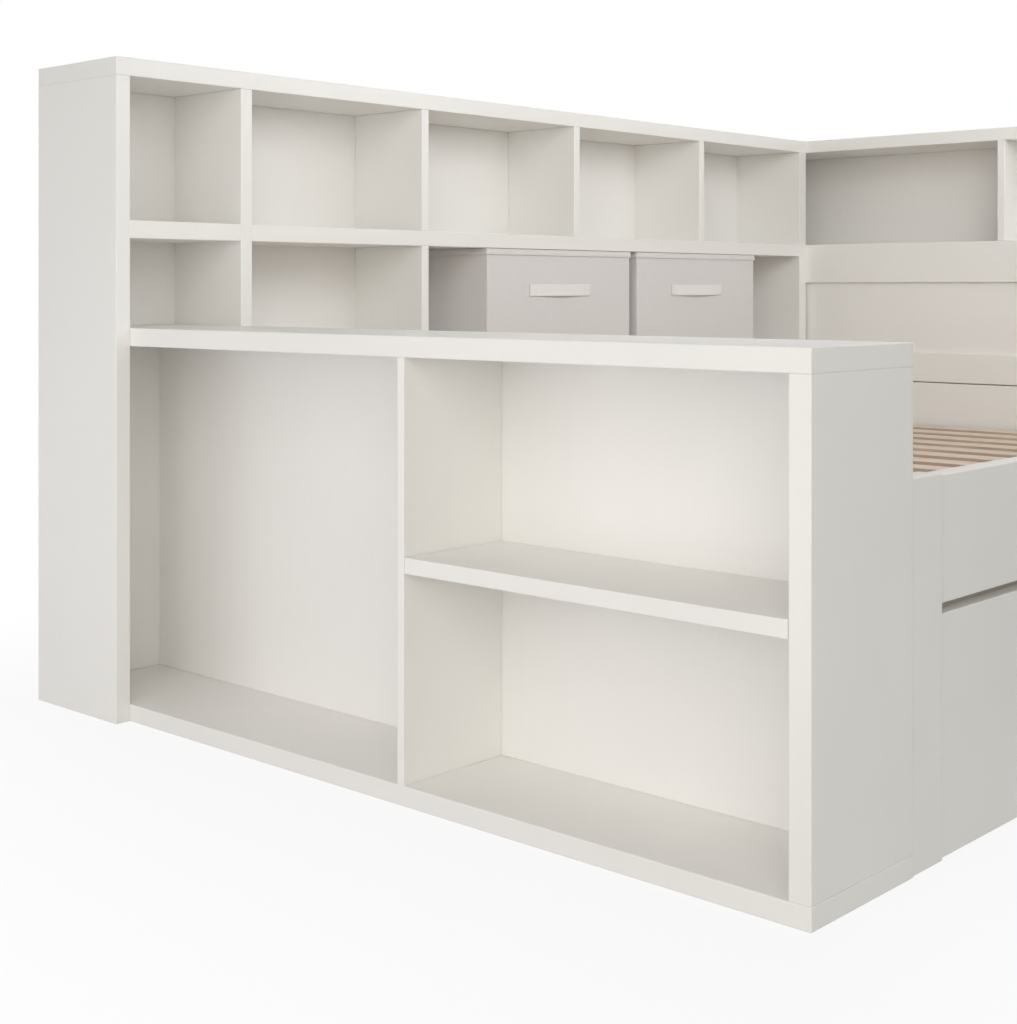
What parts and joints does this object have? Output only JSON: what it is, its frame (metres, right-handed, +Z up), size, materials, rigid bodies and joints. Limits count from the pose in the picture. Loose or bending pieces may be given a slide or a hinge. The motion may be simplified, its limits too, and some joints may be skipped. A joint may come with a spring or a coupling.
{
  "type": "bookcase headboard bed",
  "caption": "Slatted bed framed by an open bookcase headboard, a tall side bookcase and a low foot bookcase, with rolling drawers beneath and lidded fabric bins.",
  "frame": {"origin": "on the floor, in the middle of the outer footprint", "axes": "+Z up, +Y from the foot to the headboard, +X from the side bookcase towards the open side with the drawers"},
  "size_m": [1.702, 2.573, 1.212],
  "materials": {
    "white_lacquer": "satin off-white lacquer on wood board",
    "back_lacquer": "satin off-white lacquer on thin board",
    "drawer_board": "matt off-white foil on board",
    "pine": "bare planed softwood",
    "beech": "fluted beech, hidden",
    "zinc_steel": "bright zinc",
    "wheel_plastic": "moulded grey",
    "bin_fabric": "greige linen-look cloth over board",
    "webbing": "woven cotton strap"
  },
  "bodies": {
    "bed_frame": {"bed_centre_beam": "pine", "bed_head_panel": "white_lacquer", "bed_legs": "pine", "bed_posts": "white_lacquer", "bed_screws": "zinc_steel", "bed_side_rail": "white_lacquer", "carcass_dowels": "beech", "drawer_guides": "pine", "foot_back": "back_lacquer", "foot_bottom": "white_lacquer", "foot_left_end": "white_lacquer", "foot_partition": "white_lacquer", "foot_right_end": "white_lacquer", "foot_shelf": "white_lacquer", "foot_top": "white_lacquer", "head_back": "back_lacquer", "head_divider": "white_lacquer", "head_left_end": "white_lacquer", "head_lower_rail": "white_lacquer", "head_niche_floor": "white_lacquer", "head_panel": "white_lacquer", "head_right_end": "white_lacquer", "head_top": "white_lacquer", "head_upper_rail": "white_lacquer", "shelf_pins": "zinc_steel", "side_back": "back_lacquer", "side_corner_shelf": "white_lacquer", "side_far_end": "white_lacquer", "side_front_end": "white_lacquer", "side_inner_end": "white_lacquer", "side_lower_divider": "white_lacquer", "side_lower_panel": "white_lacquer", "side_lower_shelf": "white_lacquer", "side_mid_shelf": "white_lacquer", "side_top": "white_lacquer", "side_upper_divider_1": "white_lacquer", "side_upper_divider_2": "white_lacquer", "side_upper_divider_3": "white_lacquer", "slat_ledges": "pine", "slats": "pine"},
    "drawer_1": {"drawer_1_back": "drawer_board", "drawer_1_bottom": "drawer_board", "drawer_1_castors": "zinc_steel", "drawer_1_front": "white_lacquer", "drawer_1_sides": "drawer_board"},
    "drawer_1_front_axle": {"drawer_1_front_wheels": "wheel_plastic"},
    "drawer_1_rear_axle": {"drawer_1_rear_wheels": "wheel_plastic"},
    "drawer_2": {"drawer_2_back": "drawer_board", "drawer_2_bottom": "drawer_board", "drawer_2_castors": "zinc_steel", "drawer_2_front": "white_lacquer", "drawer_2_sides": "drawer_board"},
    "drawer_2_front_axle": {"drawer_2_front_wheels": "wheel_plastic"},
    "drawer_2_rear_axle": {"drawer_2_rear_wheels": "wheel_plastic"},
    "bin_1": {"bin_1_box": "bin_fabric", "bin_1_handle": "webbing", "bin_1_lid": "bin_fabric"},
    "bin_2": {"bin_2_box": "bin_fabric", "bin_2_handle": "webbing", "bin_2_lid": "bin_fabric"}
  },
  "joints": [
    {"name": "drawer_1_slide", "type": "slide", "parent": "bed_frame", "child": "drawer_1", "axis": [1, 0, 0], "range_m": [0, 0.6]},
    {"name": "drawer_1_front_axle_roll", "type": "hinge", "parent": "drawer_1", "child": "drawer_1_front_axle", "pos_m": [0.751, -0.45575, 0.0225], "axis": [0, 1, 0], "range_deg": [0, 1568]},
    {"name": "drawer_1_rear_axle_roll", "type": "hinge", "parent": "drawer_1", "child": "drawer_1_rear_axle", "pos_m": [0.258, -0.45575, 0.0225], "axis": [0, 1, 0], "range_deg": [0, 1568]},
    {"name": "drawer_2_slide", "type": "slide", "parent": "bed_frame", "child": "drawer_2", "axis": [1, 0, 0], "range_m": [0, 0.6]},
    {"name": "drawer_2_front_axle_roll", "type": "hinge", "parent": "drawer_2", "child": "drawer_2_front_axle", "pos_m": [0.751, 0.47975, 0.0225], "axis": [0, 1, 0], "range_deg": [0, 1568]},
    {"name": "drawer_2_rear_axle_roll", "type": "hinge", "parent": "drawer_2", "child": "drawer_2_rear_axle", "pos_m": [0.258, 0.47975, 0.0225], "axis": [0, 1, 0], "range_deg": [0, 1568]},
    {"name": "bin_1_slide", "type": "slide", "parent": "bed_frame", "child": "bin_1", "axis": [1, 0, 0], "range_m": [0, 0.206]},
    {"name": "bin_2_slide", "type": "slide", "parent": "bed_frame", "child": "bin_2", "axis": [1, 0, 0], "range_m": [0, 0.206]}
  ],
  "couplings": [
    {"joint": "drawer_1_front_axle_roll", "follows": "drawer_1_slide", "rad_per_m": 45.455},
    {"joint": "drawer_1_rear_axle_roll", "follows": "drawer_1_slide", "rad_per_m": 45.455},
    {"joint": "drawer_2_front_axle_roll", "follows": "drawer_2_slide", "rad_per_m": 45.455},
    {"joint": "drawer_2_rear_axle_roll", "follows": "drawer_2_slide", "rad_per_m": 45.455}
  ]
}
